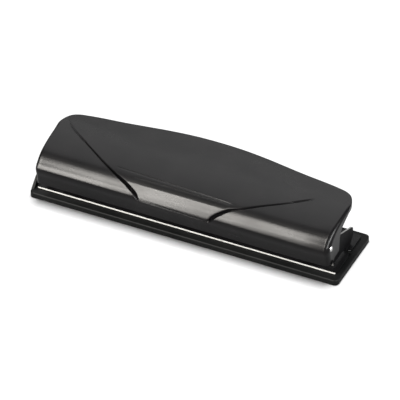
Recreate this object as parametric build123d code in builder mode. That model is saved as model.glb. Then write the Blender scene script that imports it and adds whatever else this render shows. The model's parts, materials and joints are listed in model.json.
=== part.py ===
from build123d import *
import os
from math import acos, cos, pi, sin

os.makedirs("parts", exist_ok=True)

# ---------------------------------------------------------------------------
# Three hole punch for ring binder paper, 284 mm long.
# Frame: +X along the length (to the right seen from the front), +Y from the
# front, where the paper goes in, to the rear, +Z up. The origin is under the
# middle of the bounding box, on the table. Sketches are drawn with y counted
# from the front edge of the base and moved by y_mid onto the origin.
# ---------------------------------------------------------------------------
base_l = 284.0            # length of the base
base_w = 68.0             # depth of the base
y_mid = 35.88             # base front edge to the middle of the bounding box

hole_pitch = 108.0        # 4.25 in between hole centres
punch_x = (-hole_pitch, 0.0, hole_pitch)
punch_names = ("left", "center", "right")
punch_y = 24.0            # punch axis, from the base front edge
stop_y = 36.7             # back stop of the paper, 12.7 mm behind the holes

# chip tray
foot_h = 0.3              # how far the rubber feet stand out
tray_floor = 1.0
tray_h = 5.3              # top of the rim
tray_r = 4.0
rim_front = 9.2
rim_side = 6.4
stop_t = 2.3              # thickness of the paper edge stop

# base plate
plate_z = 5.6
plate_t = 1.4
plate_top = plate_z + plate_t
plate_x0, plate_x1 = -138.2, 137.3
plate_y0, plate_y1 = 7.8, 62.5

# punch unit
pin_r = 3.50
guide_r = 3.56            # running fit of the pin in its guides
die_r = 3.58
pin_tip = 10.4
pin_top = 44.5
stroke = 6.0
dome_r = 4.2              # domed head, pushed by the lever
dome_c = pin_top - dome_r
dome_a = acos(pin_r / dome_r)
arm_t = 1.5
low_arm = 10.2            # underside of the lower arm: the paper gap is 3.2 mm
top_arm = 28.6            # underside of the upper arm
head_w = 26.0
ring_t, washer_t = 1.0, 0.6
ring_z = top_arm - 0.3 - ring_t
washer_z = ring_z - washer_t
spring_z0 = low_arm + arm_t + 0.05
spring_wire = 0.9
spring_r = 5.0

# handle hinge
hinge_y, hinge_z = 4.0, 35.0
hinge_r = 2.5
hinge_run = 2.56          # running bore on the hinge pin
ear_x, ear_t = 131.2, 1.4
lever_x, lever_t = 129.3, 1.5
web_z, web_t = 44.9, 1.5

# handle cover
cover_x = 134.7
wall = 1.8
cover_round = 2.6         # soft edge of the cover


def yz(x):
    """Sketch plane across the length: local x is y, local y is z."""
    return Plane(origin=(x, -y_mid, 0), x_dir=(0, 1, 0), z_dir=(1, 0, 0))


def xy(z):
    """Horizontal sketch plane, y counted from the base front edge."""
    return Plane(origin=(0, -y_mid, z), x_dir=(1, 0, 0), z_dir=(0, 0, 1))


def xz(y):
    """Upright sketch plane along the length, facing the front."""
    return Plane(origin=(0, y - y_mid, 0), x_dir=(1, 0, 0), z_dir=(0, -1, 0))


def save(piece, name):
    piece.part.label = name
    export_step(piece.part, "parts/" + name + ".step")


# ---------------------------------------------------------------------------
# chip tray: shallow moulded pan that carries the plate and catches the chips
# ---------------------------------------------------------------------------
foot_xy = [(-128, 12), (128, 12), (-128, 56), (128, 56)]
foot_r = 6.0

with BuildPart() as chip_tray:
    with BuildSketch(xy(foot_h)) as tray_plan:
        with Locations((0, base_w / 2)):
            RectangleRounded(base_l, base_w, tray_r)
    extrude(amount=tray_h - foot_h)
    chamfer(chip_tray.faces().sort_by(Axis.Z)[-1].edges(), 0.5)
    # hollow for the chips
    with BuildSketch(xy(foot_h + tray_floor)) as tray_hollow:
        with BuildLine():
            Polyline((-base_l / 2 + rim_side, rim_front), (base_l / 2 - rim_side, rim_front),
                     (base_l / 2 - rim_side, base_w - rim_side), (-base_l / 2 + rim_side, base_w - rim_side),
                     close=True)
        make_face()
        fillet(tray_hollow.vertices(), 2.5)
    extrude(amount=20, mode=Mode.SUBTRACT)
    # paper edge stop on the left rim
    with BuildSketch(yz(-base_l / 2)) as edge_stop:
        with BuildLine():
            Polyline((4.6, 3.0), (4.6, 5.6), (12.6, 12.6), (15.2, 14.0), (50.5, 14.0), (55.5, 9.5), (58.0, 3.0),
                     close=True)
        make_face()
        fillet(edge_stop.vertices().filter_by(lambda v: v.Y > 12.0), 1.6)
    extrude(amount=stop_t)
    # snap tongues standing in the notches of the plate
    with BuildSketch(yz(plate_x1 - 2.6)) as tongue_right:
        with BuildLine():
            Polyline((36.6, 3.0), (39.4, 3.0), (39.4, 7.0), (38.8, 7.7), (37.2, 7.7), (36.6, 7.0), close=True)
        make_face()
    extrude(amount=2.9)
    with BuildSketch(yz(plate_x0 - 0.9)) as tongue_left:
        with BuildLine():
            Polyline((56.6, 3.0), (59.4, 3.0), (59.4, 7.0), (58.8, 7.7), (57.2, 7.7), (56.6, 7.0), close=True)
        make_face()
    extrude(amount=3.5)
    # finger recess under the rear edge, for pulling the tray off
    with BuildSketch(xz(base_w + 1)) as pull_recess:
        with Locations((0, foot_h)):
            SlotOverall(44, 3.0)
    extrude(amount=3.2, mode=Mode.SUBTRACT)
    # shallow seats of the rubber feet
    with BuildSketch(xy(0)) as foot_seats:
        with Locations(foot_xy):
            Circle(foot_r + 0.05)
    extrude(amount=0.6, mode=Mode.SUBTRACT)
save(chip_tray, "chip_tray")

with BuildPart() as rubber_feet:
    with BuildSketch(xy(0)) as foot_plan:
        with Locations(foot_xy):
            Circle(foot_r)
    extrude(amount=0.6)
    chamfer(rubber_feet.faces().group_by(Axis.Z)[0].edges(), 0.15)
save(rubber_feet, "rubber_feet")

# ---------------------------------------------------------------------------
# base plate: flat steel with the three die holes
# ---------------------------------------------------------------------------
rivet_r = 2.0
head_feet_x = (-8.0, 8.0)
head_rivet_y = 44.5
ear_rivet_x = 127.0
ear_rivet_y = (42.6, 49.6)
rivet_xy = [(px + dx, head_rivet_y) for px in punch_x for dx in head_feet_x]
rivet_xy += [(sx * ear_rivet_x, ry) for sx in (-1, 1) for ry in ear_rivet_y]

with BuildPart() as base_plate:
    with BuildSketch(xy(plate_z)) as plate_plan:
        with BuildLine():
            Polyline((plate_x0, plate_y0), (plate_x1, plate_y0), (plate_x1, 33.0), (plate_x1 - 0.9, 35.4),
                     (plate_x1 - 0.9, plate_y1), (plate_x0, plate_y1), close=True)
        make_face()
        fillet(plate_plan.vertices().group_by(Axis.Y)[-1] + plate_plan.vertices().group_by(Axis.Y)[0], 2.0)
        # notches of the tray's snap tongues
        with Locations((plate_x1 + 0.5, 38.0)):
            Rectangle(7.0, 3.6, mode=Mode.SUBTRACT)
        with Locations((plate_x0 + 0.2, 58.0)):
            Rectangle(6.0, 3.6, mode=Mode.SUBTRACT)
        with Locations([(px, punch_y) for px in punch_x]):
            Circle(die_r, mode=Mode.SUBTRACT)
        with Locations(rivet_xy):
            Circle(rivet_r, mode=Mode.SUBTRACT)
    extrude(amount=plate_t)
save(base_plate, "base_plate")

# ---------------------------------------------------------------------------
# punch brackets: folded steel, foot, back wall and two guide arms
# ---------------------------------------------------------------------------
back_y = stop_y + 0.3
for px, side in zip(punch_x, punch_names):
    with BuildPart() as punch_bracket:
        with BuildSketch(yz(px - head_w / 2)) as bracket_fold:
            with BuildLine():
                Polyline((50.0, plate_top), (50.0, plate_top + arm_t), (back_y + arm_t, plate_top + arm_t),
                         (back_y + arm_t, top_arm + arm_t), (14.0, top_arm + arm_t), (14.0, top_arm),
                         (back_y, top_arm), (back_y, low_arm + arm_t), (15.5, low_arm + arm_t),
                         (14.0, low_arm + arm_t + 0.9), (13.2, low_arm + arm_t + 0.1), (15.0, low_arm),
                         (back_y, low_arm), (back_y, plate_top), close=True)
            make_face()
        extrude(amount=head_w)
        # rounded outer fold of the upper arm
        fillet(punch_bracket.edges().filter_by(Axis.X).sort_by(lambda e: -e.center().Z - e.center().Y)[0], 1.4)
        # window left in the back wall where the lower arm is bent out of it
        with BuildSketch(xz(back_y - 1.0)) as window:
            with Locations((px, (low_arm + arm_t + top_arm) / 2 + 0.3)):
                RectangleRounded(15.0, top_arm - low_arm - arm_t - 2.6, 1.5)
        extrude(amount=-(arm_t + 2.0), mode=Mode.SUBTRACT)
        # lower arm narrower than the back wall, so that the sheet shows the pin
        for s in (-1, 1):
            with BuildSketch(xy(low_arm - 0.5)) as arm_side:
                with Locations((px + s * (head_w / 2 - 1.5), 24.0)):
                    Rectangle(6.0, 24.0)
            extrude(amount=arm_t + 1.8, mode=Mode.SUBTRACT)
        with BuildSketch(xy(low_arm - 1)) as guide_bores:
            with Locations((px, punch_y)):
                Circle(guide_r)
        extrude(amount=top_arm - low_arm + 4, mode=Mode.SUBTRACT)
        with BuildSketch(xy(plate_top - 1)) as rivet_bores:
            with Locations([(px + dx, head_rivet_y) for dx in head_feet_x]):
                Circle(rivet_r)
        extrude(amount=4, mode=Mode.SUBTRACT)
    save(punch_bracket, side + "_punch_bracket")

# rivets: one identical set for the punch brackets and the hinge brackets
with BuildPart() as rivets:
    with BuildSketch(xy(plate_z - 0.6)) as rivet_low:
        with Locations(rivet_xy):
            Circle(3.4)
    extrude(amount=0.6)
    with BuildSketch(xy(plate_z)) as rivet_shank:
        with Locations(rivet_xy):
            Circle(rivet_r)
    extrude(amount=plate_t + arm_t)
    with BuildSketch(xy(plate_top + arm_t)) as rivet_top:
        with Locations(rivet_xy):
            Circle(3.4)
    extrude(amount=1.3)
    fillet(rivets.faces().group_by(Axis.Z)[-1].edges(), 0.9)
save(rivets, "rivets")

# ---------------------------------------------------------------------------
# hinge brackets: black steel ears at both ends, open to the front for the paper
# ---------------------------------------------------------------------------
for s, side in ((-1, "left"), (1, "right")):
    x0 = ear_x if s > 0 else -ear_x - ear_t
    with BuildPart() as hinge_bracket:
        with BuildSketch(yz(x0)) as ear:
            with BuildLine():
                Polyline((38.2, plate_top), (38.2, 10.6), (16.0, 11.4), (11.0, 15.5), (0.1, 32.8), (1.0, 38.2),
                         (8.0, 39.0), (14.0, 37.4), (27.9, 32.5), (50.6, 23.4), (53.0, 21.2), (53.0, 13.2),
                         (49.5, 9.0), (47.8, plate_top), close=True)
            make_face()
            fillet(ear.vertices().filter_by(lambda v: v.Z > plate_top + 0.5 and v.Y + y_mid > 12.0 and v.Z > 12.0
                                            and v.Y + y_mid < 60), 1.2)
            with Locations((hinge_y, hinge_z)):
                Circle(4.6)
                Circle(hinge_r, mode=Mode.SUBTRACT)
        extrude(amount=ear_t)
        # trim the nose to the round boss, which turns inside the cover
        with BuildSketch(yz(x0 - 1)) as nose_trim:
            with BuildLine():
                Polyline((-6.0, 20.0), (hinge_y, 20.0), (hinge_y, 50.0), (-6.0, 50.0), close=True)
            make_face()
            with Locations((hinge_y, hinge_z)):
                Circle(4.6, mode=Mode.SUBTRACT)
            with BuildLine():
                Polyline((hinge_y - 4.5, hinge_z), (hinge_y, 27.5), (hinge_y + 0.2, 27.5), (hinge_y + 0.2, hinge_z),
                         close=True)
            make_face(mode=Mode.SUBTRACT)
        extrude(amount=ear_t + 2, mode=Mode.SUBTRACT)
        # foot bent inwards onto the plate
        with BuildSketch(xy(plate_top)) as ear_foot:
            with BuildLine():
                Polyline((s * 122.4, 38.2), (s * (ear_x + ear_t), 38.2), (s * (ear_x + ear_t), 47.8),
                         (s * (ear_x - 1), 53.0), (s * 122.4, 53.0), close=True)
            make_face()
            with Locations([(s * ear_rivet_x, ry) for ry in ear_rivet_y]):
                Circle(rivet_r, mode=Mode.SUBTRACT)
        extrude(amount=arm_t)
    save(hinge_bracket, side + "_hinge_bracket")

# ---------------------------------------------------------------------------
# hinge pins and their retaining rings
# ---------------------------------------------------------------------------
clip_t = 0.7
clip_x = lever_x - 0.15 - clip_t
pin_in, pin_out = clip_x - 1.2, cover_x + 0.25
for s, side in ((-1, "left"), (1, "right")):
    with BuildPart() as hinge_pin:
        # turned profile: local x is the radius, local y runs outwards along the pin
        with BuildSketch(Plane(origin=(0, hinge_y - y_mid, hinge_z), x_dir=(0, 0, 1), z_dir=(0, -s, 0))) as pin_turn:
            with BuildLine():
                Polyline((0, pin_in), (1.9, pin_in), (2.5, pin_in + 0.5), (2.5, clip_x - 0.03), (1.9, clip_x - 0.03),
                         (1.9, clip_x + clip_t + 0.03), (2.5, clip_x + clip_t + 0.03), (2.5, pin_out - 0.5),
                         (2.1, pin_out), (0, pin_out), close=True)
            make_face()
        revolve(axis=Axis((0, hinge_y - y_mid, hinge_z), (1, 0, 0)))
    save(hinge_pin, side + "_hinge_pin")

with BuildPart() as hinge_clips:
    for s in (-1, 1):
        with BuildSketch(yz(clip_x if s > 0 else -clip_x - clip_t)) as clip_plan:
            with Locations((hinge_y, hinge_z)):
                Circle(4.2)
                Circle(1.93, mode=Mode.SUBTRACT)
            with Locations((hinge_y + 4.0, hinge_z)):
                Rectangle(8.0, 2.9, mode=Mode.SUBTRACT)
        extrude(amount=clip_t)
save(hinge_clips, "hinge_clips")

# ---------------------------------------------------------------------------
# press lever: steel channel under the cover, it turns on the hinge pins and
# pushes the three punches down
# ---------------------------------------------------------------------------
lev_out = lever_x + lever_t
screw_xy = [(-84.0, 30.0), (-30.0, 48.0), (30.0, 48.0), (84.0, 30.0)]
with BuildPart() as press_lever:
    with BuildSketch(xy(web_z)) as web:
        with BuildLine():
            Polyline((-lev_out, 17.0), (lev_out, 17.0), (lev_out, 38.0), (118.0, 50.0), (106.0, 56.0),
                     (-106.0, 56.0), (-118.0, 50.0), (-lev_out, 38.0), close=True)
        make_face()
        # lightening slots between the punches
        with Locations((-54, 40), (54, 40)):
            SlotOverall(50, 9, mode=Mode.SUBTRACT)
        with Locations(screw_xy):
            Circle(1.6, mode=Mode.SUBTRACT)
    extrude(amount=web_t)
    # rear flange that stiffens the channel
    with BuildSketch(xz(56.0)) as rear_flange:
        with BuildLine():
            Polyline((-106, web_z + web_t), (106, web_z + web_t), (106, 41.0), (102, 38.0), (-102, 38.0),
                     (-106, 41.0), close=True)
        make_face()
    extrude(amount=lever_t)
    # end arms down to the hinge pins
    for s in (-1, 1):
        with BuildSketch(yz(lever_x if s > 0 else -lev_out)) as end_arm:
            with BuildLine():
                Polyline((0.0, 32.2), (7.6, 31.6), (24.0, 38.0), (38.0, 43.6), (38.0, web_z + web_t),
                         (17.0, web_z + web_t), (8.0, 39.6), (2.0, 39.2), close=True)
            make_face()
            with Locations((hinge_y, hinge_z)):
                Circle(4.6)
                Circle(hinge_run, mode=Mode.SUBTRACT)
        extrude(amount=lever_t)
save(press_lever, "press_lever")

# screws that hold the cover on the lever
with BuildPart() as cover_screws:
    with BuildSketch(xy(web_z - 1.2)) as screw_heads:
        with Locations(screw_xy):
            Circle(2.8)
    extrude(amount=1.2)
    fillet(cover_screws.faces().group_by(Axis.Z)[0].edges(), 0.7)
    with BuildSketch(xy(web_z - 1.2)) as drives:
        with Locations(screw_xy):
            Rectangle(3.0, 0.7)
            Rectangle(0.7, 3.0)
    extrude(amount=0.7, mode=Mode.SUBTRACT)
    with BuildSketch(xy(web_z)) as screw_shanks:
        with Locations(screw_xy):
            Circle(1.25)
    extrude(amount=3.6)
save(cover_screws, "cover_screws")

# ---------------------------------------------------------------------------
# handle cover: moulded shell with one section all along, rounded rear corners
# ---------------------------------------------------------------------------
front_low = (0.0, 17.0)
front_up = (-2.1, 27.4)
front_foot = (1.01, 12.0)
over = [(-2.1, 27.4), (-3.2, 31.8), (-3.6, 34.3), (-2.8, 36.4), (-1.6, 38.6), (0.1, 40.8), (2.3, 42.9), (4.7, 44.7),
        (9.9, 47.4), (19.8, 49.9), (31.2, 51.4), (44.0, 52.0)]
rear_half = [(134.7, 38.0), (134.2, 45.0), (132.2, 51.2), (128.7, 56.6), (123.4, 59.8), (115.0, 61.8), (104.0, 63.6),
             (83.0, 66.2), (64.0, 69.2), (45.0, 72.2), (22.0, 74.7), (0.0, 75.4)]


def inset(curve, side, count=14):
    """Points one wall thickness inside a curve; side 1 is its left, -1 its right."""
    points = []
    for i in range(count + 1):
        p, d = curve @ (i / count), curve % (i / count)
        points.append((p.X - side * wall * d.Y, p.Y + side * wall * d.X))
    return points


top_start, top_end, top_far = (44.0, 52.0), (90.0, 51.4), 90.0
rise = (front_up[0] - front_foot[0], front_up[1] - front_foot[1])
fall = (top_end[0] - top_start[0], top_end[1] - top_start[1])
over_curve = Spline(over, tangents=[rise, fall], tangent_scalars=[0.6, 0.6])
rear_curve = Spline(rear_half, tangents=[(0, 1), (-1, 0)], tangent_scalars=[0.5, 0.5])
over_in = inset(over_curve, -1, 10)
rear_in = inset(rear_curve, 1, 9)

with BuildSketch(Plane.XY) as cover_section:
    with BuildLine():
        Line(front_foot, front_up)
        Spline(over, tangents=[rise, fall], tangent_scalars=[0.6, 0.6])
        Polyline(top_start, top_end, (top_far, 12.0), front_foot)
    make_face()

with BuildSketch(Plane.XY) as hollow_section:
    with BuildLine():
        foot_in = (over_in[0][0] - 1.2 * rise[0], over_in[0][1] - 1.2 * rise[1])
        Line(foot_in, over_in[0])
        Spline(over_in, tangents=[rise, fall], tangent_scalars=[0.6, 0.6])
        Polyline(over_in[-1], (top_far + 2, over_in[-1][1] + (top_far + 2 - over_in[-1][0]) * fall[1] / fall[0]),
                 (top_far + 2, foot_in[1]), foot_in)
    make_face()

with BuildSketch(Plane.XY) as cover_plan:
    with BuildLine():
        Polyline((-cover_x, rear_half[0][1]), (-cover_x, -14.0), (cover_x, -14.0), (cover_x, rear_half[0][1]))
        Spline(rear_half, tangents=[(0, 1), (-1, 0)], tangent_scalars=[0.5, 0.5])
        Spline([(-x, y) for x, y in reversed(rear_half)], tangents=[(-1, 0), (0, -1)],
               tangent_scalars=[0.5, 0.5])
    make_face()

with BuildSketch(Plane.XY) as hollow_plan:
    with BuildLine():
        Polyline((-cover_x + wall, rear_half[0][1]), (-cover_x + wall, -16.0), (cover_x - wall, -16.0),
                 (cover_x - wall, rear_half[0][1]))
        Spline(rear_in, tangents=[(0, 1), (-1, 0)], tangent_scalars=[0.5, 0.5])
        Spline([(-x, y) for x, y in reversed(rear_in)], tangents=[(-1, 0), (0, -1)],
               tangent_scalars=[0.5, 0.5])
    make_face()

with BuildPart() as cover_outer:
    with BuildSketch(yz(-cover_x)):
        add(cover_section.sketch)
    extrude(amount=2 * cover_x)
    # soft ridge between the ends and the front and top
    end_edges = cover_outer.edges().filter_by(
        lambda e: abs(abs(e.center().X) - cover_x) < 0.01 and e.bounding_box().max.Z > 12.5
        and e.bounding_box().min.Y < 50.0)
    fillet(end_edges, cover_round)
    with BuildSketch(xy(0)):
        add(cover_plan.sketch)
    extrude(amount=60, mode=Mode.INTERSECT)

with BuildPart() as cover_inner:
    with BuildSketch(yz(-cover_x - 1)):
        add(hollow_section.sketch)
    extrude(amount=2 * cover_x + 2)
    with BuildSketch(xy(0)):
        add(hollow_plan.sketch)
    extrude(amount=60, mode=Mode.INTERSECT)

with BuildPart() as handle_cover:
    add(cover_outer.part)
    add(cover_inner.part, mode=Mode.SUBTRACT)
    # underside: straight front edge, cut-away end walls, short lip at the rear
    with BuildSketch(yz(-cover_x - 5)) as under_cut:
        with BuildLine():
            Polyline((-8.0, 5.0), (-8.0, 17.0), (2.2, 17.0), (4.0, 20.5), (12.0, 21.1), (19.6, 21.7), (21.0, 34.5),
                     (25.0, 41.6), (34.9, 45.6), (43.0, 48.2), (95.0, 48.2), (95.0, 5.0), close=True)
        make_face()
    extrude(amount=2 * cover_x + 10, mode=Mode.SUBTRACT)
    # bosses for the cover screws
    with BuildSketch(xy(web_z + web_t + 0.05)) as bosses:
        with Locations(screw_xy):
            Circle(3.2)
    extrude(amount=50.6 - web_z - web_t - 0.05)
    with BuildSketch(xy(web_z + web_t)) as pilot_holes:
        with Locations(screw_xy):
            Circle(1.25)
    extrude(amount=2.3, mode=Mode.SUBTRACT)
    # running bores of the hinge pins in the end walls
    with BuildSketch(yz(-cover_x - 5)) as hinge_bores:
        with Locations((hinge_y, hinge_z)):
            Circle(hinge_run)
    extrude(amount=2 * cover_x + 10, mode=Mode.SUBTRACT)
save(handle_cover, "handle_cover")

# ---------------------------------------------------------------------------
# punches, their retaining rings, spring washers and return springs
# ---------------------------------------------------------------------------
for px, side in zip(punch_x, punch_names):
    axis = Axis((px, punch_y - y_mid, 0), (0, 0, 1))
    with BuildPart() as punch_pin:
        with BuildSketch(Plane(origin=(px, punch_y - y_mid, 0), x_dir=(1, 0, 0), z_dir=(0, -1, 0))) as pin_turned:
            with BuildLine():
                # cupped cutting end, groove of the retaining ring, domed head
                Polyline((0, pin_tip + 1.3), (3.1, pin_tip), (pin_r, pin_tip), (pin_r, ring_z - 0.03),
                         (2.8, ring_z - 0.03), (2.8, ring_z + ring_t + 0.03), (pin_r, ring_z + ring_t + 0.03),
                         (pin_r, dome_c + dome_r * sin(dome_a)))
                ThreePointArc((pin_r, dome_c + dome_r * sin(dome_a)),
                              (dome_r * cos((dome_a + pi / 2) / 2), dome_c + dome_r * sin((dome_a + pi / 2) / 2)),
                              (0, pin_top))
                Line((0, pin_top), (0, pin_tip + 1.3))
            make_face()
        revolve(axis=axis)
    save(punch_pin, side + "_punch_pin")

    with BuildPart() as ring:
        with BuildSketch(xy(ring_z)) as ring_plan:
            with Locations((px, punch_y)):
                Circle(6.0)
                Circle(2.83, mode=Mode.SUBTRACT)
            with Locations((px, punch_y - 5.0)):
                Rectangle(4.4, 8.0, mode=Mode.SUBTRACT)
        extrude(amount=ring_t)
    save(ring, side + "_retaining_ring")

    with BuildPart() as washer:
        with BuildSketch(xy(washer_z)) as washer_plan:
            with Locations((px, punch_y)):
                Circle(6.6)
                Circle(pin_r + 0.05, mode=Mode.SUBTRACT)
        extrude(amount=washer_t)
    save(washer, side + "_spring_washer")

    # return spring: round wire coiled round the punch, closed on its seats
    coil_lo = spring_z0 + spring_wire / 2
    coil_hi = washer_z - spring_wire / 2 - 0.02
    turns = 6.0
    pitch = (coil_hi - coil_lo) / turns
    with BuildPart() as spring:
        with BuildLine(Plane(origin=(px, punch_y - y_mid, coil_lo))) as coil_path:
            Helix(pitch=pitch, height=coil_hi - coil_lo, radius=spring_r)
        with BuildSketch(Plane(origin=coil_path.line @ 0, z_dir=coil_path.line % 0)) as wire_section:
            Circle(spring_wire / 2)
        sweep(is_frenet=True)
    save(spring, side + "_punch_spring")
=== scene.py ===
import bpy
import bmesh
import json
import math
import numpy as np
from mathutils import Vector
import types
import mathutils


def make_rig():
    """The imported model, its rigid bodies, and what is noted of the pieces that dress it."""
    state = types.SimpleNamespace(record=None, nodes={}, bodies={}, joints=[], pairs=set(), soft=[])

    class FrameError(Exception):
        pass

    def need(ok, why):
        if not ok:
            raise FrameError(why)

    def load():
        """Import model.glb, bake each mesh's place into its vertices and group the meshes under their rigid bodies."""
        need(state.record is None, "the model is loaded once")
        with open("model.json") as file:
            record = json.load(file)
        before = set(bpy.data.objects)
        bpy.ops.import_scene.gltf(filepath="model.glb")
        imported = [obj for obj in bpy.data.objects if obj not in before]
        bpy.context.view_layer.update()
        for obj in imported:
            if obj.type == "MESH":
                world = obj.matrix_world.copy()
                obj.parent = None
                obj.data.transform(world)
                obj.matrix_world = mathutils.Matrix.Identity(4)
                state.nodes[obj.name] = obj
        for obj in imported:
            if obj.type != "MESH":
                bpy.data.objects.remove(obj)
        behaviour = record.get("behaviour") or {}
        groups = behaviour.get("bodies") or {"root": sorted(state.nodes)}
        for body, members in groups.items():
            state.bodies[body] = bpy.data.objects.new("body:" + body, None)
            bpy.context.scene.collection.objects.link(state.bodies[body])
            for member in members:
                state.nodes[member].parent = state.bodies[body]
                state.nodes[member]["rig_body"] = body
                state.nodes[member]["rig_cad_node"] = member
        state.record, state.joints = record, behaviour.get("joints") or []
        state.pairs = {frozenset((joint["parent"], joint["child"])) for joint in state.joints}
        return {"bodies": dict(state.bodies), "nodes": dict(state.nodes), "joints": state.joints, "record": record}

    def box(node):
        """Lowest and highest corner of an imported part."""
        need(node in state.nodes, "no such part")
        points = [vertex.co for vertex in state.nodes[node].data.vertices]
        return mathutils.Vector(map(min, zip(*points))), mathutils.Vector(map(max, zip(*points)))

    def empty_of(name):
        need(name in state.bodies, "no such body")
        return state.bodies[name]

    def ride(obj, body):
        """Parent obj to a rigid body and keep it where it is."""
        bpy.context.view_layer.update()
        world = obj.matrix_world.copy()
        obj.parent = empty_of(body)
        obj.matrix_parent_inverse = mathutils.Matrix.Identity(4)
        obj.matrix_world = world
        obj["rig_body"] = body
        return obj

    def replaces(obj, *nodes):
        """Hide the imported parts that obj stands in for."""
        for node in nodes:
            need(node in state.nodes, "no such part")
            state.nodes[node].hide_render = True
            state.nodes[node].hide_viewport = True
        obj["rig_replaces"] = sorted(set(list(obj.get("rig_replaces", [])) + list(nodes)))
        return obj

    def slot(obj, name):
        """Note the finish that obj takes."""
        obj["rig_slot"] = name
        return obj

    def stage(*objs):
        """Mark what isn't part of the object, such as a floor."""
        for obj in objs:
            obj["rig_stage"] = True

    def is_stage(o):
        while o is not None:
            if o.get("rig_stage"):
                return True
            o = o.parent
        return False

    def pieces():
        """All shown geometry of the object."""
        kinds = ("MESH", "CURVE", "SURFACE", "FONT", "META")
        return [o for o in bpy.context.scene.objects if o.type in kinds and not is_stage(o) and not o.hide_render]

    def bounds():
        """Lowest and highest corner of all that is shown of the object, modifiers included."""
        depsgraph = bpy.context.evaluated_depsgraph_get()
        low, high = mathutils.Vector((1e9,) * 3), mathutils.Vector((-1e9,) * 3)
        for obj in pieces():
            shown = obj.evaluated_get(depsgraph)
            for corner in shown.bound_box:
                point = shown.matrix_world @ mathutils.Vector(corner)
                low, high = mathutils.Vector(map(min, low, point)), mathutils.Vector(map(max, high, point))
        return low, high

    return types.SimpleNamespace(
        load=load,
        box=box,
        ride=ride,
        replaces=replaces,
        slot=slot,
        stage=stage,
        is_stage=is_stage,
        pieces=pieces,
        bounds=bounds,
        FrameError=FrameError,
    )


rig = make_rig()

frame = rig.load()
cad_lo, cad_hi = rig.bounds()
MM = 0.001
scene = bpy.context.scene
scene.view_settings.view_transform = "Standard"
scene.view_settings.look = "None"

# The tray's front edge is the zero of the depth measure "y" used for sizes here.
tray_lo, tray_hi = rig.box("chip_tray")
Y0 = tray_lo[1]


# ---------------------------------------------------------------- camera
view_dir = Vector((0.3265, -0.7058, 0.6287)).normalized()
target = Vector((2.5 * MM, Y0 + 30.0 * MM, 23.4 * MM))
cam_data = bpy.data.cameras.new("camera")
cam = bpy.data.objects.new("camera", cam_data)
scene.collection.objects.link(cam)
cam_data.sensor_width = 36.0
cam_data.lens = 860.5
cam.location = target + view_dir * 8.0
cam.rotation_mode = "QUATERNION"
cam.rotation_quaternion = (-view_dir).to_track_quat("-Z", "Y")
cam_data.clip_start, cam_data.clip_end = 0.1, 40.0
scene.camera = cam


# ---------------------------------------------------------------- material tools
def new_mat(name):
    m = bpy.data.materials.new(name)
    m.use_nodes = True
    nt = m.node_tree
    for n in list(nt.nodes):
        nt.nodes.remove(n)
    out = nt.nodes.new("ShaderNodeOutputMaterial")
    b = nt.nodes.new("ShaderNodeBsdfPrincipled")
    nt.links.new(b.outputs["BSDF"], out.inputs["Surface"])
    return m, nt, b


def noise(nt, scale, detail=4.0, rough=0.5, stretch=None):
    t = nt.nodes.new("ShaderNodeTexCoord")
    n = nt.nodes.new("ShaderNodeTexNoise")
    n.inputs["Scale"].default_value = scale
    n.inputs["Detail"].default_value = detail
    n.inputs["Roughness"].default_value = rough
    if stretch:
        mp = nt.nodes.new("ShaderNodeMapping")
        mp.inputs["Scale"].default_value = stretch
        nt.links.new(t.outputs["Object"], mp.inputs["Vector"])
        nt.links.new(mp.outputs["Vector"], n.inputs["Vector"])
    else:
        nt.links.new(t.outputs["Object"], n.inputs["Vector"])
    return n.outputs["Fac"]


def ramp(nt, src, stops):
    r = nt.nodes.new("ShaderNodeValToRGB")
    el = r.color_ramp.elements
    while len(el) < len(stops):
        el.new(0.5)
    for e, (p, c) in zip(el, stops):
        e.position = p
        e.color = (*c, 1.0) if len(c) == 3 else (c[0], c[0], c[0], 1.0)
    nt.links.new(src, r.inputs["Fac"])
    return r.outputs["Color"]


def maprange(nt, src, a, b, c, d):
    m = nt.nodes.new("ShaderNodeMapRange")
    m.inputs["From Min"].default_value = a
    m.inputs["From Max"].default_value = b
    m.inputs["To Min"].default_value = c
    m.inputs["To Max"].default_value = d
    nt.links.new(src, m.inputs["Value"])
    return m.outputs["Result"]


def bump(nt, bsdf, src, dist, strength=1.0, before=None):
    b = nt.nodes.new("ShaderNodeBump")
    b.inputs["Distance"].default_value = dist
    b.inputs["Strength"].default_value = strength
    nt.links.new(src, b.inputs["Height"])
    if before is not None:
        nt.links.new(before, b.inputs["Normal"])
    nt.links.new(b.outputs["Normal"], bsdf.inputs["Normal"])
    return b.outputs["Normal"]


def mix(nt, fac, a, b):
    m = nt.nodes.new("ShaderNodeMix")
    m.data_type = "RGBA"
    nt.links.new(fac, m.inputs[0])
    for s, v in ((6, a), (7, b)):
        if isinstance(v, tuple):
            m.inputs[s].default_value = (*v, 1.0)
        else:
            nt.links.new(v, m.inputs[s])
    return m.outputs[2]


def math_node(nt, op, a, b=None):
    m = nt.nodes.new("ShaderNodeMath")
    m.operation = op
    for s, v in ((0, a), (1, b)):
        if v is None:
            continue
        if isinstance(v, (int, float)):
            m.inputs[s].default_value = v
        else:
            nt.links.new(v, m.inputs[s])
    return m.outputs[0]


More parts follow.
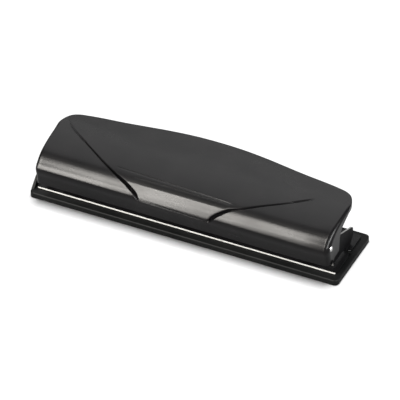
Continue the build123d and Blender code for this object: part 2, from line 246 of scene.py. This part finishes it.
def plastic(name, dark, light, rough, ior, spec, grain, grain_dist):
    """Moulded plastic: cloudy tone, spark-eroded grain, a few handling marks."""
    m, nt, b = new_mat(name)
    cloud = noise(nt, 38.0, 3.0)
    nt.links.new(ramp(nt, cloud, [(0.3, dark), (0.7, light)]), b.inputs["Base Color"])
    smear = noise(nt, 60.0, 5.0, 0.6, (0.35, 1.0, 1.0))
    nt.links.new(maprange(nt, smear, 0.3, 0.7, rough - 0.03, rough + 0.04), b.inputs["Roughness"])
    b.inputs["IOR"].default_value = ior
    b.inputs["Specular IOR Level"].default_value = spec
    fine = noise(nt, grain, 2.0, 0.6)
    broad = noise(nt, 25.0, 2.0)
    n1 = bump(nt, b, broad, 0.00005, 0.5)
    bump(nt, b, fine, grain_dist, 0.8, n1)
    return m


mats = {}
mats["cover_plastic"] = plastic("cover_plastic", (0.0007, 0.0007, 0.0008), (0.0014, 0.0013, 0.0014), 0.29, 1.12, 1.0, 2600.0,
                                0.000012)
mats["tray_plastic"] = plastic("tray_plastic", (0.0009, 0.0010, 0.0010), (0.0022, 0.0023, 0.0023), 0.50, 1.12, 0.5, 1900.0,
                               0.00002)


def painted(name, edge_axis, edge_sign):
    """Black satin paint on sheet steel, with a light metallic band painted on the faces turned toward the light: a
    painted highlight.
    """
    m, nt, b = new_mat(name)
    tc = nt.nodes.new("ShaderNodeTexCoord")
    sep = nt.nodes.new("ShaderNodeSeparateXYZ")
    nt.links.new(tc.outputs["Normal"], sep.inputs[0])
    # painted highlight: these masks pick the faces turned toward the light (front faces, or upward edges), not bare
    # metal
    if edge_axis == "-Y":
        mask = math_node(nt, "LESS_THAN", sep.outputs["Y"], -0.8)
    else:
        ax = math_node(nt, "ABSOLUTE", sep.outputs["X"])
        mask = math_node(nt, "LESS_THAN", ax, 0.6)
        up = math_node(nt, "GREATER_THAN", sep.outputs["Z"], 0.25)
        lvl = math_node(nt, "LESS_THAN", sep.outputs["Z"], 0.97)
        mask = math_node(nt, "MULTIPLY", math_node(nt, "MULTIPLY", mask, up), lvl)
    cloud = noise(nt, 90.0, 4.0)
    paint = ramp(nt, cloud, [(0.3, (0.0012, 0.0012, 0.0013)), (0.7, (0.0022, 0.0022, 0.0023))])
    # painted highlight: a light, streaky metallic tone laid on the masked faces
    shear = noise(nt, 900.0, 3.0, 0.5, (1.0, 1.0, 0.15))
    bare = ramp(nt, shear, [(0.3, (0.17, 0.17, 0.165)), (0.7, (0.27, 0.27, 0.265))])
    nt.links.new(mix(nt, mask, paint, bare), b.inputs["Base Color"])
    nt.links.new(math_node(nt, "MULTIPLY", mask, 0.25 if edge_axis == "-Y" else 0.8), b.inputs["Metallic"])
    ro = maprange(nt, noise(nt, 200.0, 3.0), 0.3, 0.7, 0.34, 0.44)
    nt.links.new(ro, b.inputs["Roughness"])
    b.inputs["IOR"].default_value = 1.12 if edge_axis == "-Y" else 1.06
    b.inputs["Specular IOR Level"].default_value = 0.6
    bump(nt, b, noise(nt, 1400.0, 2.0), 0.00002, 0.6)
    return m


def steel(name, c0, c1, rough, stretch):
    m, nt, b = new_mat(name)
    nt.links.new(ramp(nt, noise(nt, 140.0, 4.0), [(0.3, c0), (0.7, c1)]), b.inputs["Base Color"])
    b.inputs["Metallic"].default_value = 1.0
    lines = noise(nt, 700.0, 3.0, 0.6, stretch)
    nt.links.new(maprange(nt, lines, 0.3, 0.7, rough - 0.06, rough + 0.08), b.inputs["Roughness"])
    bump(nt, b, lines, 0.00001, 0.5)
    return m


# painted highlight on the plate's front-facing faces and on the ear's upward-facing edges
mats["plate_steel"] = painted("plate_steel", "-Y", -1)
mats["ear_steel"] = painted("ear_steel", "X", 1)
mats["zinc"] = steel("zinc", (0.44, 0.45, 0.46), (0.60, 0.61, 0.62), 0.34, (0.1, 1.0, 1.0))
mats["bright_steel"] = steel("bright_steel", (0.30, 0.30, 0.295), (0.42, 0.42, 0.41), 0.26, (1.0, 1.0, 0.1))
rub, nt, b = new_mat("rubber")
nt.links.new(ramp(nt, noise(nt, 300.0, 4.0), [(0.3, (0.018, 0.018, 0.018)), (0.7, (0.032, 0.032, 0.031))]),
             b.inputs["Base Color"])
b.inputs["Roughness"].default_value = 0.85
bump(nt, b, noise(nt, 2200.0, 2.0), 0.00004, 0.7)
mats["rubber"] = rub

slot_of = {s["node"]: s["material_slot"] for s in frame["record"]["subparts"]}
slot_of["left_hinge_bracket"] = slot_of["right_hinge_bracket"] = "ear_steel"
for node, obj in frame["nodes"].items():
    ob = obj if hasattr(obj, "material_slots") else bpy.data.objects[node]
    m = mats[slot_of[node]]
    if not ob.material_slots:
        ob.data.materials.append(m)
    for s in ob.material_slots:
        s.link = "OBJECT"
        s.material = m


# ---------------------------------------------------------------- handle cover
# Moulded shell: one section all along, soft ends, a panel set off by curved
# grooves on its front, two creases across the panel.
COVER_X, WALL, ROUND, REAR_ROUND = 134.7, 1.75, 2.6, 0.75


def catmull(points, n):
    p = np.array(points, float)
    p = np.vstack([2 * p[0] - p[1], p, 2 * p[-1] - p[-2]])
    out = []
    for i in range(1, len(p) - 2):
        p0, p1, p2, p3 = p[i - 1], p[i], p[i + 1], p[i + 2]
        t0 = 0.0
        t1 = t0 + max(np.linalg.norm(p1 - p0), 1e-6) ** 0.5
        t2 = t1 + max(np.linalg.norm(p2 - p1), 1e-6) ** 0.5
        t3 = t2 + max(np.linalg.norm(p3 - p2), 1e-6) ** 0.5
        for t in np.linspace(t1, t2, n, endpoint=False):
            a1 = (t1 - t) / (t1 - t0) * p0 + (t - t0) / (t1 - t0) * p1
            a2 = (t2 - t) / (t2 - t1) * p1 + (t - t1) / (t2 - t1) * p2
            a3 = (t3 - t) / (t3 - t2) * p2 + (t - t2) / (t3 - t2) * p3
            b1 = (t2 - t) / (t2 - t0) * a1 + (t - t0) / (t2 - t0) * a2
            b2 = (t3 - t) / (t3 - t1) * a2 + (t - t1) / (t3 - t1) * a3
            out.append((t2 - t) / (t2 - t1) * b1 + (t - t1) / (t2 - t1) * b2)
    out.append(p[-2])
    return np.array(out)


over = [(-0.12, 17.6), (-1.05, 22.2), (-2.1, 27.4), (-3.1, 31.2), (-3.42, 32.8), (-3.57, 34.2), (-3.48, 35.5), (-3.0, 36.9),
        (-1.75, 39.0), (0.1, 40.8), (2.3, 42.9), (4.7, 44.7), (9.9, 47.4), (19.8, 49.9), (31.2, 51.4), (44.0, 51.98),
        (60.0, 51.8), (78.0, 51.55)]
sec = catmull(over, 60)
seg = np.linalg.norm(np.diff(sec, axis=0), axis=1)
sec_s = np.concatenate([[0.0], np.cumsum(seg)])
S_MAX = sec_s[-1]
NS = 2400
s_lin = np.linspace(0, S_MAX, NS)
sec_y = np.interp(s_lin, sec_s, sec[:, 0])
sec_z = np.interp(s_lin, sec_s, sec[:, 1])
k = 10
pad = np.pad(np.stack([sec_y, sec_z], 1), ((k, k), (0, 0)), mode="reflect", reflect_type="odd")
ker = np.hanning(2 * k + 1)
ker /= ker.sum()
sm = np.stack([np.convolve(pad[:, i], ker, mode="valid") for i in (0, 1)], 1)
sec_y, sec_z = sm[:, 0], sm[:, 1]
ty, tz = np.gradient(sec_y), np.gradient(sec_z)
tl = np.hypot(ty, tz)
ny, nz = -tz / tl, ty / tl          # outward normal of the section


# slower turning normal, for rolling the surface in at the ends
k2 = 90
pad2 = np.pad(np.stack([ny, nz], 1), ((k2, k2), (0, 0)), mode="edge")
ker2 = np.hanning(2 * k2 + 1)
ker2 /= ker2.sum()
slow = np.stack([np.convolve(pad2[:, i], ker2, mode="valid") for i in (0, 1)], 1)
slow /= np.linalg.norm(slow, axis=1)[:, None]


def at(s, arr):
    return np.interp(s, s_lin, arr)


nose = int(np.argmin(sec_y))


def s_from_y(y):                    # on the top side
    return float(np.interp(y, sec_y[nose:], s_lin[nose:]))


def s_from_z(z):                    # on the front, under the nose
    return float(np.interp(z, sec_z[: nose + 1], s_lin[: nose + 1]))


rear = [(134.7, 38.0), (134.2, 45.0), (132.2, 51.2), (128.7, 56.6), (123.4, 59.8), (115.0, 61.8), (104.0, 63.6),
        (83.0, 66.2), (64.0, 69.2), (45.0, 72.2), (22.0, 74.7), (0.0, 75.38)]
rc = catmull(rear + [(-22.0, 74.7)], 40)
rc = rc[rc[:, 0] >= 0]
rc = np.vstack([rc, [[0.0, 75.38]]])
order = np.argsort(rc[:, 0])
rc_x, rc_y = rc[order, 0], np.minimum.accumulate(rc[order, 1])


def rear_y(x):
    return np.interp(np.abs(x), rc_x, rc_y)


# columns: even in the middle, fine over the soft ends
knots = [-(COVER_X - ROUND), -62.0, -36.0, 21.0, 56.0, COVER_X - ROUND]
mid = np.concatenate([np.linspace(p, q, int(round((q - p) / w)), endpoint=False) for p, q, w in
                      zip(knots[:-1], knots[1:], (0.32, 0.25, 0.5, 0.25, 0.34))] + [[COVER_X - ROUND]])
phi = np.linspace(0, math.pi / 2, 10)[1:]
tip = COVER_X - ROUND + ROUND * np.sin(phi)
xs = np.concatenate([-tip[::-1], mid, tip])
NX = len(xs)
# rows: fine over the front with its grooves, coarser on the plain top
FINE, COARSE = 240, 50
NV = FINE + COARSE
ph = np.linspace(0, math.pi / 2, 9)[1:]
S = np.zeros((NX, NV + len(ph)))
s_end = np.array([s_from_y(v) for v in rear_y(xs)])
for i in range(NX):
    lo_end = s_end[i] - REAR_ROUND
    S[i, :FINE] = np.linspace(0, 56.0, FINE, endpoint=False)
    S[i, FINE:NV] = np.linspace(56.0, lo_end, COARSE)
    S[i, NV:] = lo_end + REAR_ROUND * np.sin(ph)
X = np.repeat(xs[:, None], S.shape[1], 1)
PY, PZ, NY, NZ = at(S, sec_y), at(S, sec_z), at(S, ny), at(S, nz)

# distance to the outline in plan, for the soft edge
dense = np.stack([np.concatenate([rc_x[::-1], -rc_x[1:]]), np.concatenate([rc_y[::-1], rc_y[1:]])], 1)
d_end = COVER_X - np.abs(X)
d = d_end.copy()
top_rows = PY > 30.0
pts = np.stack([X[top_rows], PY[top_rows]], 1)
best = np.full(len(pts), 1e9)
for a0, a1 in zip(dense[:-1], dense[1:]):
    e = a1 - a0
    L2 = float(e @ e)
    if L2 < 1e-12:
        continue
    near = (np.abs(pts[:, 0] - (a0[0] + a1[0]) / 2) < 12.0)
    if not near.any():
        continue
    q = pts[near]
    t = np.clip(((q - a0) @ e) / L2, 0, 1)
    dd = np.hypot(*(q - a0 - t[:, None] * e).T)
    best[near] = np.minimum(best[near], dd)
d_rear = np.full(X.shape, 1e3)
d_rear[top_rows] = best
d = np.clip(np.minimum(d_end, d_rear), 0, None)


def roll(dist_in, r):
    q = np.clip(dist_in, 0, r)
    return r - np.sqrt(np.clip(r ** 2 - (r - q) ** 2, 0, None))


# the ends roll over widely at the front and sharpen towards the rear
round_end = np.where(X > 0, np.interp(PY, [0.0, 14.0, 30.0], [5.2, 4.0, ROUND]), ROUND)
h_end = roll(d_end, round_end) * np.clip((48.0 - PY) / 14.0, 0.0, 1.0)
# the front also falls away gently over its last centimetres
crown = np.where(X > 0, 1.15, 0.15) * np.clip(1.0 - d_end / 25.0, 0, 1) ** 2 * np.clip((16.0 - PY) / 16.0, 0.0, 1.0)
h_end = np.maximum(h_end, 0.0) + crown * np.clip(d_end / 5.0, 0.35, 1.0)
h = np.maximum(h_end, roll(d_rear, REAR_ROUND))

# grooves, as points on the unrolled surface (x, s)
left = [(-130.2, s_from_y(54.6)), (-120.0, s_from_y(41.6)), (-103.3, s_from_y(29.5)), (-90.1, s_from_y(21.0)),
        (-77.4, s_from_y(13.4)), (-65.6, s_from_y(7.7)), (-55.5, s_from_y(3.8)), (-47.5, s_from_y(0.5)),
        (-42.7, s_from_y(-1.8)), (-39.4, s_from_z(34.6))]
low = [(-38.4, s_from_z(34.0)), (-36.8, s_from_z(33.6)), (-20.0, s_from_z(33.0)), (0.0, s_from_z(32.4)),
       (18.0, s_from_z(31.7)), (22.6, s_from_z(31.6))]
right = [(24.8, s_from_z(32.6)), (29.2, s_from_y(-1.9)), (34.3, s_from_y(1.1)), (40.2, s_from_y(4.3)),
         (49.7, s_from_y(7.6)), (64.6, s_from_y(15.3)), (83.0, s_from_y(25.3)), (97.0, s_from_y(34.8)),
         (104.0, s_from_y(40.0))]
path = catmull(left + low + right, 9)
n_left = len(left) - 1
path_idx = np.arange(len(path)) / 9.0        # control point number along the path


def field(path, idx, X, S, reach):
    """Distance to a polyline and the place along it."""
    dist = np.full(X.shape, 1e9)
    where = np.zeros(X.shape)
    for a0, a1, i0, i1 in zip(path[:-1], path[1:], idx[:-1], idx[1:]):
        lo, hi = np.minimum(a0, a1) - reach, np.maximum(a0, a1) + reach
        m = (X > lo[0]) & (X < hi[0]) & (S > lo[1]) & (S < hi[1])
        if not m.any():
            continue
        e = a1 - a0
        L2 = float(e @ e)
        if L2 < 1e-12:
            continue
        qx, qs = X[m] - a0[0], S[m] - a0[1]
        t = np.clip((qx * e[0] + qs * e[1]) / L2, 0, 1)
        dd = np.hypot(qx - t * e[0], qs - t * e[1])
        old = dist[m]
        better = dd < old
        old[better] = dd[better]
        w = where[m]
        w[better] = (i0 + t * (i1 - i0))[better]
        dist[m], where[m] = old, w
    return dist, where


dist, where = field(path, path_idx, X, S, 36.0)
# inside test: above the path, between its ends
inside = np.zeros(X.shape, bool)
poly = np.vstack([path, [[path[-1][0] + 40, S_MAX + 50]], [[path[0][0] - 5, S_MAX + 50]]])
j = len(poly) - 1
for i in range(len(poly)):
    (xi, yi), (xj, yj) = poly[i], poly[j]
    c = ((yi > S) != (yj > S))
    if yj != yi:
        c &= X < (xj - xi) * (S - yi) / (yj - yi) + xi
    inside ^= c
    j = i
signed = np.where(inside, dist, -dist)

# along the path: depth, width and step
ctl = np.arange(len(left) + len(low) + len(right))
depth_c = np.interp(where, [0, 1, 2, 3.2, 4.2, 5, 6, 8, 9.2, 10, 11, 14, 15, 16, 17, 18, 19, 20, 21.5, 23, 24],
                    [0.12, 0.6, 1.1, 1.3, 1.7, 2.5, 3.2, 3.5, 2.9, 0.8, 0.5, 0.5, 0.9, 2.9, 3.5, 3.3, 2.6, 1.9,
                     1.4, 1.0, 0.0])
width_c = np.interp(where, [0, 3, 4.5, 6, 8, 9.2, 10, 14.5, 15.5, 17, 19, 21, 24],
                    [0.6, 0.7, 0.9, 1.35, 1.7, 1.3, 0.5, 0.5, 1.3, 1.8, 1.3, 0.8, 0.65])
step_c = np.interp(where, [0, 2, 4, 6, 9, 10, 14, 15.5, 18, 20, 22, 24], [0, 0.05, 0.18, 0.5, 0.62, 0.1, 0.1, 0.6, 0.6,
                                                                        0.36, 0.12, 0])
groove = -depth_c * np.clip(1.0 - np.abs(signed + 0.5 * width_c) / width_c, 0, 1) ** 0.7
low_side = -step_c * (1 / (1 + np.exp(np.clip(signed / 0.35, -30, 30)))) * np.exp(-np.clip(-signed, 0, None) / 26.0)
# a slight lip on the panel side catches the light along the lower grooves
lip = -0.35 * step_c * np.exp(-np.clip(signed, 0, None) / 0.9) * (signed > -0.2)
relief = groove + low_side + lip

# the panel between the grooves is planed off to a flat bevel above the nose
edge_fade = np.where(inside, 1.0, 0.0) * np.clip(dist / 0.9, 0, 1)
s_a, s_b = s_from_z(33.2), s_from_y(3.7)
p_a = np.array([at(s_a, sec_y), at(s_a, sec_z)])
p_b = np.array([at(s_b, sec_y), at(s_b, sec_z)])
chord = (p_b - p_a) / np.linalg.norm(p_b - p_a)
sag = (PY - p_a[0]) * -chord[1] + (PZ - p_a[1]) * chord[0]
relief -= 0.62 * np.clip(sag, 0, None) * (S > s_a) * (S < s_b) * edge_fade

# two narrow creases above the bevel, running together to the right
for x_l, y_l, y_r, amp, wid in ((-67.0, 13.0, 9.3, 0.30, 0.95), (-51.0, 8.0, 8.1, 0.13, 0.8)):
    line_y = np.interp(X, [x_l, 42.0], [y_l, y_r])
    line_s = np.interp(line_y, sec_y[nose:], s_lin[nose:])
    q = S - line_s
    fade = np.clip((X - x_l) / 5.0, 0, 1) * np.clip((45.0 - X) / 6.0, 0, 1) * edge_fade
    relief += -amp * np.clip(1.0 - np.abs(q) / wid, 0, 1) * fade

# all relief runs out towards the outline of the shell
relief *= np.clip(d / 3.0, 0, 1)
PYo, PZo = PY - at(S, slow[:, 0]) * h, PZ - at(S, slow[:, 1]) * h

rows = S.shape[1]
verts = np.stack([X * MM, PYo * MM + Y0, PZo * MM], -1).reshape(-1, 3)
idx = np.arange(NX * rows).reshape(NX, rows)
faces = []
a = idx[:-1, :-1].ravel(); bq = idx[1:, :-1].ravel(); c = idx[1:, 1:].ravel(); dq = idx[:-1, 1:].ravel()
faces += list(zip(a.tolist(), bq.tolist(), c.tolist(), dq.tolist()))
verts = verts.tolist()
tuck = np.clip(relief + 0.7, None, 0.0)         # the inside follows deep grooves
carve_in = np.stack([np.zeros(relief.size), (NY * tuck).ravel(), (NZ * tuck).ravel()], -1) * MM
carve = np.stack([np.zeros(relief.size), (NY * relief).ravel(), (NZ * relief).ravel()], -1) * MM


def add_wall(top_ids, low_pts, steps, flip):
    """Ruled strip from an edge of the grid down to its lower outline."""
    prev = list(top_ids)
    top_co = np.array([verts[i] for i in top_ids])
    low_pts = np.array(low_pts)
    for st in range(1, steps + 1):
        f = st / steps
        co = top_co * (1 - f) + low_pts * f
        start = len(verts)
        verts.extend(co.tolist())
        cur = list(range(start, start + len(co)))
        for p in range(len(co) - 1):
            q = (prev[p], cur[p], cur[p + 1], prev[p + 1])
            faces.append(q[::-1] if flip else q)
        prev = cur


# ends: flat walls down to their cut-away outline
anchor_u = [0.0, s_from_z(27.4), float(s_lin[nose]), s_from_y(0.4), s_from_y(9.9), s_from_y(19.8), s_from_y(31.2),
            s_from_y(39.99)]
anchor_l = [(2.6, 17.55), (12.0, 21.1), (19.6, 21.7), (20.7, 32.5), (21.1, 35.0), (25.0, 41.6), (32.6, 44.9), (40.0, 47.3)]
side_s = S[0]
low_y = np.interp(side_s, anchor_u, [p[0] for p in anchor_l])
low_z = np.interp(side_s, anchor_u, [p[1] for p in anchor_l])
for col, sgn in ((0, -1), (NX - 1, 1)):
    low_pts = [(sgn * COVER_X * MM, yy * MM + Y0, zz * MM) for yy, zz in zip(low_y, low_z)]
    add_wall(idx[col, :].tolist(), low_pts, 10, sgn < 0)
# rear lip
rear_ids = idx[:, -1]
lip_z = np.interp(np.abs(xs), [0, 126, COVER_X], [48.3, 48.3, 47.3])
low_pts = [(verts[i][0], verts[i][1], z * MM) for i, z in zip(rear_ids, lip_z)]
add_wall(rear_ids.tolist(), low_pts, 2, False)

base = bpy.data.meshes.new("cover_base")
base.from_pydata(verts, [], faces)
base.update()
bm = bmesh.new()
bm.from_mesh(base)
tag = bm.verts.layers.int.new("first")
bm.verts.ensure_lookup_table()
for i, v in enumerate(bm.verts):
    v[tag] = i
bmesh.ops.remove_doubles(bm, verts=bm.verts, dist=0.00002)
bmesh.ops.recalc_face_normals(bm, faces=bm.faces)
if max(bm.faces, key=lambda f: f.calc_center_median().z).normal.z < 0:
    bmesh.ops.reverse_faces(bm, faces=bm.faces)
bm.normal_update()
bm.verts.index_update()
outer, inner = [], []
for v in bm.verts:
    first = v[tag]
    move = carve[first] if first < len(carve) else np.zeros(3)
    outer.append(tuple(np.array(v.co) + move))
    sink = carve_in[first] if first < len(carve_in) else np.zeros(3)
    inner.append(tuple(np.array(v.co - v.normal * WALL * MM) + sink))
n_out = len(outer)
skin = []
for f in bm.faces:
    ids = [v.index for v in f.verts]
    skin.append(tuple(ids))
    skin.append(tuple(n_out + i for i in reversed(ids)))
for e in bm.edges:
    if len(e.link_faces) == 1:
        lp = e.link_loops[0]
        v0, v1 = lp.vert.index, lp.link_loop_next.vert.index
        skin.append((v1, v0, n_out + v0, n_out + v1))
bm.free()
me = bpy.data.meshes.new("cover_skin")
me.from_pydata(outer + inner, [], skin)
me.validate()
me.update()
cover = bpy.data.objects.new("cover_shell", me)
scene.collection.objects.link(cover)


def apply_mods(ob):
    dg = bpy.context.evaluated_depsgraph_get()
    new = bpy.data.meshes.new_from_object(ob.evaluated_get(dg))
    ob.modifiers.clear()
    ob.data = new


# bores of the hinge pins
pin_lo, pin_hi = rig.box("right_hinge_pin")
bore_y, bore_z = (pin_lo[1] + pin_hi[1]) / 2, (pin_lo[2] + pin_hi[2]) / 2
cut_me = bpy.data.meshes.new("bore")
bmc = bmesh.new()
for sgn in (-1, 1):
    r = bmesh.ops.create_cone(bmc, cap_ends=True, segments=48, radius1=2.75 * MM, radius2=2.75 * MM, depth=8 * MM)
    bmesh.ops.rotate(bmc, verts=r["verts"], cent=(0, 0, 0),
                     matrix=__import__("mathutils").Matrix.Rotation(math.pi / 2, 3, "Y"))
    bmesh.ops.translate(bmc, verts=r["verts"], vec=(sgn * 133.9 * MM, bore_y, bore_z))
bmc.to_mesh(cut_me)
bmc.free()
cutter = bpy.data.objects.new("bore_cutter", cut_me)
scene.collection.objects.link(cutter)
bo = cover.modifiers.new("bore", "BOOLEAN")
bo.operation = "DIFFERENCE"
bo.object = cutter
bo.solver = "EXACT"
apply_mods(cover)
bpy.data.objects.remove(cutter)
for p in cover.data.polygons:
    p.use_smooth = True
cover.data.set_sharp_from_angle(angle=math.radians(68))
cover.data.materials.clear()
cover.data.materials.append(mats["cover_plastic"])
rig.ride(cover, "handle")
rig.replaces(cover, "handle_cover")
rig.slot(cover, "cover_plastic")


# ---------------------------------------------------------------- stage and light
fl = bpy.data.meshes.new("floor")
R = 6.0
fl.from_pydata([(-R, -R, 0), (R, -R, 0), (R, R, 0), (-R, R, 0)], [], [(0, 1, 2, 3)])
floor = bpy.data.objects.new("floor", fl)
scene.collection.objects.link(floor)
fm, nt, b = new_mat("floor_paper")
nt.links.new(ramp(nt, noise(nt, 3.0, 2.0), [(0.3, (0.86, 0.86, 0.86)), (0.7, (0.875, 0.875, 0.875))]),
             b.inputs["Base Color"])
b.inputs["Roughness"].default_value = 0.9
b.inputs["Specular IOR Level"].default_value = 0.0
fl.materials.append(fm)
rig.stage(floor)

w = bpy.data.worlds.new("studio")
scene.world = w
w.use_nodes = True
bg = w.node_tree.nodes.get("Background") or w.node_tree.nodes.new("ShaderNodeBackground")
bg.inputs["Color"].default_value = (1.0, 1.0, 1.0, 1.0)
bg.inputs["Strength"].default_value = 0.35


def softbox(name, pos, aim, sx, sy, power):
    ld = bpy.data.lights.new(name, "AREA")
    ld.shape = "RECTANGLE"
    ld.size, ld.size_y = sx, sy
    ld.energy = power
    ob = bpy.data.objects.new(name, ld)
    scene.collection.objects.link(ob)
    ob.location = pos
    dirv = Vector(aim) - Vector(pos)
    ob.rotation_mode = "QUATERNION"
    ob.rotation_quaternion = dirv.to_track_quat("-Z", "Y")
    return ob


key = softbox("key", (-0.465, -0.96, 0.68), (-0.05, 0.0, 0.04), 0.22, 1.33, 124.0)
key.data.color = (1.0, 0.965, 0.915)
back = softbox("back", (-0.46, 0.62, 1.15), (0.0, 0.0, 0.04), 1.3, 1.2, 23.0)
side = softbox("side", (1.08, -0.22, 0.66), (0.13, 0.0, 0.04), 1.3, 0.34, 80.0)
over_head = softbox("overhead", (0.0, 0.10, 2.2), (0.0, 0.0, 0.0), 0.7, 0.7, 50.0)
# the softboxes are flagged off the paper, which has its own overhead light
lit = bpy.data.collections.new("lit_by_key")
paper = bpy.data.collections.new("paper_only")
scene.collection.children.link(lit)
scene.collection.children.link(paper)
for ob in list(scene.objects):
    if ob.type == "MESH" and ob is not floor:
        lit.objects.link(ob)
paper.objects.link(floor)
key.light_linking.receiver_collection = lit
back.light_linking.receiver_collection = lit
side.light_linking.receiver_collection = lit
over_head.light_linking.receiver_collection = paper

vis_lo, vis_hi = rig.bounds()
json.dump({"cad": [list(map(float, cad_lo)), list(map(float, cad_hi))],
           "visual": [list(map(float, vis_lo)), list(map(float, vis_hi))]}, open("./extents.json", "w"))
